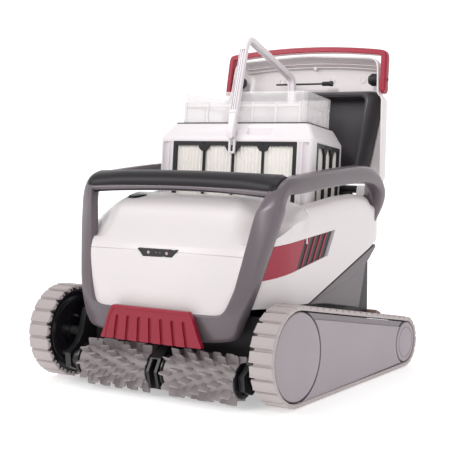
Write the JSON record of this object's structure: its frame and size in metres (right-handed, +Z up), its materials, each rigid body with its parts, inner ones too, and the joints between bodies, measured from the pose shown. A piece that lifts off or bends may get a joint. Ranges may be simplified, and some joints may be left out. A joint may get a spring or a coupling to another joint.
{
  "type": "pool cleaner",
  "caption": "Tracked robotic pool cleaner with front brushes, carrying frame, hinged lid standing open and a filter basket lifted out of its bay.",
  "frame": {"origin": "on the ground under the centre of the whole object's box, lid open and basket lifted", "axes": "+Z up, the brushes and grille face -Y, the lid hinge is towards +Y, +X is the cleaner's side towards the hanger's open end"},
  "size_m": [0.41, 0.4702, 0.4992],
  "materials": {
    "body_white": "warm white moulded ABS with a soft shine and fine mould grain",
    "basket_white": "cool white moulded plastic, satin",
    "frame_grey": "mid grey moulded plastic, satin, faint mauve tone",
    "cover_grey": "light grey moulded plastic, fine matt grain",
    "chassis_dark": "dark grey moulded plastic, matt",
    "grip_soft": "dark soft-touch overmould, slightly glossy",
    "trim_black": "black moulded plastic, satin",
    "gloss_black": "glossy black moulded plastic",
    "red_plastic": "crimson moulded plastic with a soft shine",
    "belt_rubber": "beige-grey moulded rubber, matt",
    "brush_pvc": "grey moulded PVC fins, matt",
    "seal_rubber": "black soft seal",
    "filter_fleece": "cream pleated filter fleece",
    "clear_plastic": "clear moulded plastic",
    "steel": "stainless steel pins"
  },
  "bodies": {
    "body": {"chassis": "chassis_dark", "track_belt_left": "belt_rubber", "track_belt_right": "belt_rubber", "front_axle_left": "steel", "front_axle_right": "steel", "rear_axle_left": "steel", "rear_axle_right": "steel", "side_cover_left": "cover_grey", "side_cover_right": "cover_grey", "lower_side_left": "frame_grey", "lower_side_right": "frame_grey", "brush_bracket_left": "trim_black", "brush_bracket_right": "trim_black", "brush_hanger": "trim_black", "body_shell": "body_white", "side_vent_left": "red_plastic", "side_vent_right": "red_plastic", "hinge_pin_left": "steel", "hinge_pin_right": "steel", "front_hood": "body_white", "display_panel": "gloss_black", "front_frame": "frame_grey", "side_bar_left": "frame_grey", "side_bar_right": "frame_grey", "grip_pad": "grip_soft", "front_grille": "red_plastic", "motor_unit": "trim_black", "cable_gland": "trim_black"},
    "lid": {"lid_shell": "body_white", "lid_liner": "gloss_black", "latch_pivot_left": "trim_black", "latch_pivot_right": "trim_black", "lid_rod": "trim_black"},
    "latch": {"lid_latch": "red_plastic"},
    "basket": {"basket_frame": "basket_white", "filter_frame_front": "trim_black", "filter_frame_rear": "trim_black", "filter_frame_left": "trim_black", "filter_frame_right": "trim_black", "filter_media_front": "filter_fleece", "filter_media_rear": "filter_fleece", "filter_media_left": "filter_fleece", "filter_media_right": "filter_fleece", "basket_seal": "seal_rubber"},
    "inner_basket": {"inner_basket": "clear_plastic"},
    "handle": {"basket_handle": "basket_white"},
    "drive_left": {"drive_wheel_left": "trim_black", "wheel_cap_left": "cover_grey"},
    "drive_right": {"drive_wheel_right": "trim_black", "wheel_cap_right": "cover_grey"},
    "idler_left": {"idler_wheel_left": "cover_grey"},
    "idler_right": {"idler_wheel_right": "cover_grey"},
    "brushes": {"brush_left": "brush_pvc", "brush_right": "brush_pvc", "brush_shaft": "trim_black"},
    "impeller": {"impeller": "chassis_dark"},
    "flap_left": {"intake_flap_left": "seal_rubber"},
    "flap_right": {"intake_flap_right": "seal_rubber"},
    "button_power": {"button_power": "cover_grey"},
    "button_mode": {"button_mode": "cover_grey"}
  },
  "joints": [
    {"name": "lid_hinge", "type": "hinge", "parent": "body", "child": "lid", "pos_m": [0, 0.1654, 0.268], "axis": [1, 0, 0], "range_deg": [0, 99.5]},
    {"name": "latch_lever", "type": "hinge", "parent": "lid", "child": "latch", "pos_m": [0, 0.203, 0.43813], "axis": [-1, 0, 0], "range_deg": [0, 15], "stiffness_Nm_per_rad": 0.5},
    {"name": "basket_lift", "type": "slide", "parent": "body", "child": "basket", "axis": [0, -0.2642, -0.9645], "range_m": [0, 0.1515]},
    {"name": "inner_basket_slide", "type": "slide", "parent": "basket", "child": "inner_basket", "axis": [0, -0.0872, -0.9962], "range_m": [0, 0.0521]},
    {"name": "handle_fold", "type": "hinge", "parent": "basket", "child": "handle", "pos_m": [0, -0.00908, 0.35598], "axis": [0, 0.9962, -0.0872], "range_deg": [0, 72.1]},
    {"name": "drive_left_spin", "type": "hinge", "parent": "body", "child": "drive_left", "pos_m": [-0.188, -0.1676, 0.0675], "axis": [1, 0, 0], "continuous": true},
    {"name": "drive_right_spin", "type": "hinge", "parent": "body", "child": "drive_right", "pos_m": [0.188, -0.1676, 0.0675], "axis": [1, 0, 0], "continuous": true},
    {"name": "idler_left_spin", "type": "hinge", "parent": "body", "child": "idler_left", "pos_m": [-0.188, 0.1578, 0.0384], "axis": [1, 0, 0], "continuous": true},
    {"name": "idler_right_spin", "type": "hinge", "parent": "body", "child": "idler_right", "pos_m": [0.188, 0.1578, 0.0384], "axis": [1, 0, 0], "continuous": true},
    {"name": "brush_spin", "type": "hinge", "parent": "body", "child": "brushes", "pos_m": [0, -0.2006, 0.0345], "axis": [1, 0, 0], "continuous": true},
    {"name": "impeller_spin", "type": "hinge", "parent": "body", "child": "impeller", "pos_m": [0, -0.1086, 0.13], "axis": [0, 0, 1], "continuous": true},
    {"name": "flap_left_hinge", "type": "hinge", "parent": "body", "child": "flap_left", "pos_m": [-0.062, 0.0094, 0.025], "axis": [-1, 0, 0], "range_deg": [0, 60]},
    {"name": "flap_right_hinge", "type": "hinge", "parent": "body", "child": "flap_right", "pos_m": [0.062, 0.0094, 0.025], "axis": [-1, 0, 0], "range_deg": [0, 60]},
    {"name": "button_power_press", "type": "slide", "parent": "body", "child": "button_power", "axis": [0, 1, 0], "range_m": [0, 0.001], "stiffness_N_per_m": 400},
    {"name": "button_mode_press", "type": "slide", "parent": "body", "child": "button_mode", "axis": [0, 1, 0], "range_m": [0, 0.001], "stiffness_N_per_m": 400}
  ],
  "couplings": [
    {"joint": "basket_lift", "follows": "lid_hinge", "m_per_rad": 0.08717},
    {"joint": "inner_basket_slide", "follows": "lid_hinge", "m_per_rad": 0.02994},
    {"joint": "handle_fold", "follows": "lid_hinge", "ratio": 0.7236},
    {"joint": "idler_left_spin", "follows": "drive_left_spin", "ratio": 1.8765},
    {"joint": "idler_right_spin", "follows": "drive_right_spin", "ratio": 1.8765},
    {"joint": "brush_spin", "follows": "drive_left_spin", "ratio": 1.8}
  ]
}
